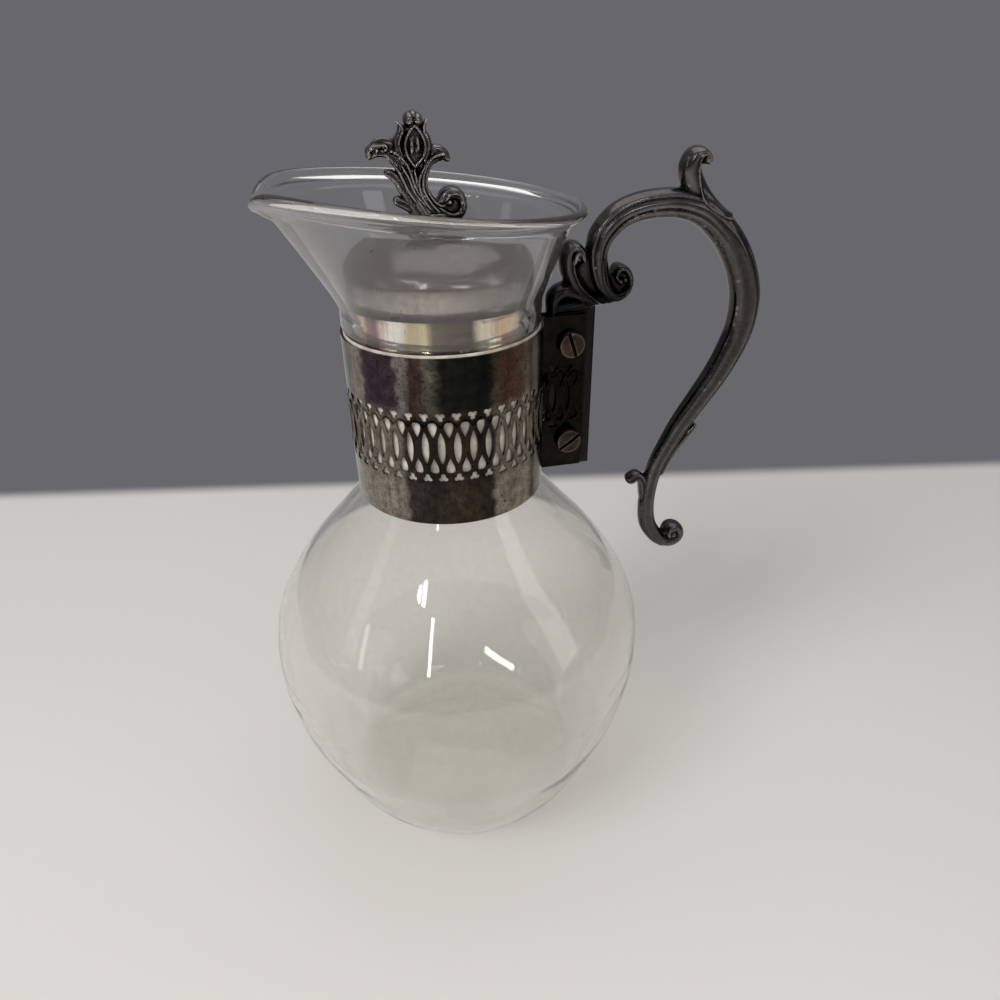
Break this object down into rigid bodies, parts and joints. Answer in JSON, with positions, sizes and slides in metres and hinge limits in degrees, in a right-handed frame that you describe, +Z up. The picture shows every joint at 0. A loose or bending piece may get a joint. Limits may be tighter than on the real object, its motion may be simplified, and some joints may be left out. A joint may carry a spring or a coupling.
{
  "type": "glass carafe with drop-in lid",
  "caption": "Clear glass carafe with a pierced metal neck band, a clamped scroll handle, a pulled spout and a loose domed lid with a leaf finial.",
  "frame": {"origin": "centre of the glass base, on the surface it stands on", "axes": "+Z up along the vessel's axis, +X towards the handle, -X towards the spout"},
  "size_m": [0.1953, 0.1516, 0.2782],
  "materials": {
    "clear_glass": "clear blown glass, smooth, fire-polished rim",
    "liner_film": "aged translucent film",
    "tarnished_plate": "tarnished silver plate, polished under the tarnish",
    "dark_casting": "tarnished plated casting, dark in the hollows",
    "worn_brass": "plate worn through to brown metal",
    "dull_plate": "dull grey silver plate",
    "bright_plate": "bright silver plate with a faint rainbow tarnish"
  },
  "bodies": {
    "carafe": {"glass_body": "clear_glass", "neck_liner": "liner_film", "neck_band": "tarnished_plate", "handle": "dark_casting", "clamp_screw_upper": "worn_brass", "clamp_screw_lower": "worn_brass", "clamp_washer_upper": "worn_brass", "clamp_washer_lower": "worn_brass", "clamp_nut_upper": "worn_brass", "clamp_nut_lower": "worn_brass"},
    "lid": {"lid_cap": "dull_plate", "lid_collar": "bright_plate", "finial": "dark_casting", "finial_washer": "worn_brass", "finial_screw": "worn_brass"}
  },
  "joints": [
    {"name": "lid_lift", "type": "slide", "parent": "carafe", "child": "lid", "axis": [0, 0, 1], "range_m": [0, 0.065]}
  ]
}
